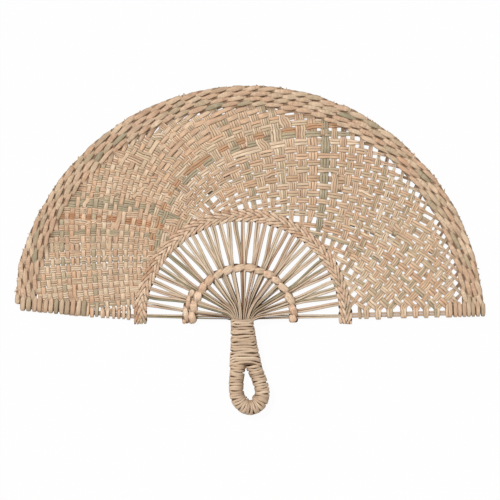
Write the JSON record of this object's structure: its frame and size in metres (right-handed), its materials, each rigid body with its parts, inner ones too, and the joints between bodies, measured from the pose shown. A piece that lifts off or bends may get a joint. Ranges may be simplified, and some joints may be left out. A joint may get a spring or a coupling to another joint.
{
  "type": "woven hand fan",
  "caption": "Half-round hand fan of plaited straw, with bare ribs, twined bands and rim, and a bound handle doubled into a loop.",
  "frame": {"origin": "middle of the fan's outline as it lies, on the surface that its back rests on", "axes": "+X across the fan to the right, +Y from the handle to the middle of the rim, +Z out of the front face"},
  "size_m": [0.3992, 0.2802, 0.0142],
  "materials": {
    "rib_straw": "sun-dried, flattened straw, matt, with a fine grain along its length",
    "weft_straw": "plaited straw strips, matt, some strips redder or greener than others",
    "twined_straw": "straw strands twined in rows, matt, darker between the strands",
    "binding_straw": "narrow straw strip wound edge to edge, matt",
    "bundle_straw": "bundle of straw ends, matt, mostly under the binding"
  },
  "bodies": {
    "root": {"border_rib_left": "rib_straw", "border_rib_right": "rib_straw", "edge_weft_01": "weft_straw", "edge_weft_02": "weft_straw", "edge_weft_03": "weft_straw", "edge_weft_04": "weft_straw", "edge_weft_05": "weft_straw", "edge_weft_06": "weft_straw", "edge_weft_07": "weft_straw", "handle_core": "bundle_straw", "inner_band": "twined_straw", "inner_band_end": "twined_straw", "loop_binding": "binding_straw", "middle_band_row_1": "twined_straw", "middle_band_row_2": "twined_straw", "neck_binding": "binding_straw", "rib_01": "rib_straw", "rib_02": "rib_straw", "rib_03": "rib_straw", "rib_04": "rib_straw", "rib_05": "rib_straw", "rib_06": "rib_straw", "rib_07": "rib_straw", "rib_08": "rib_straw", "rib_09": "rib_straw", "rib_10": "rib_straw", "rib_11": "rib_straw", "rib_12": "rib_straw", "rib_13": "rib_straw", "rib_14": "rib_straw", "rib_15": "rib_straw", "rib_16": "rib_straw", "rib_17": "rib_straw", "rib_18": "rib_straw", "rib_19": "rib_straw", "rib_20": "rib_straw", "rib_21": "rib_straw", "rib_22": "rib_straw", "rib_23": "rib_straw", "rib_24": "rib_straw", "rib_25": "rib_straw", "rib_26": "rib_straw", "rib_27": "rib_straw", "rib_28": "rib_straw", "rib_29": "rib_straw", "rib_30": "rib_straw", "rib_31": "rib_straw", "rib_32": "rib_straw", "rib_33": "rib_straw", "rib_34": "rib_straw", "rib_35": "rib_straw", "rib_36": "rib_straw", "rib_37": "rib_straw", "rim_row_1": "twined_straw", "rim_row_2": "twined_straw", "rim_row_3": "twined_straw", "rim_row_4": "twined_straw"}
  },
  "joints": []
}
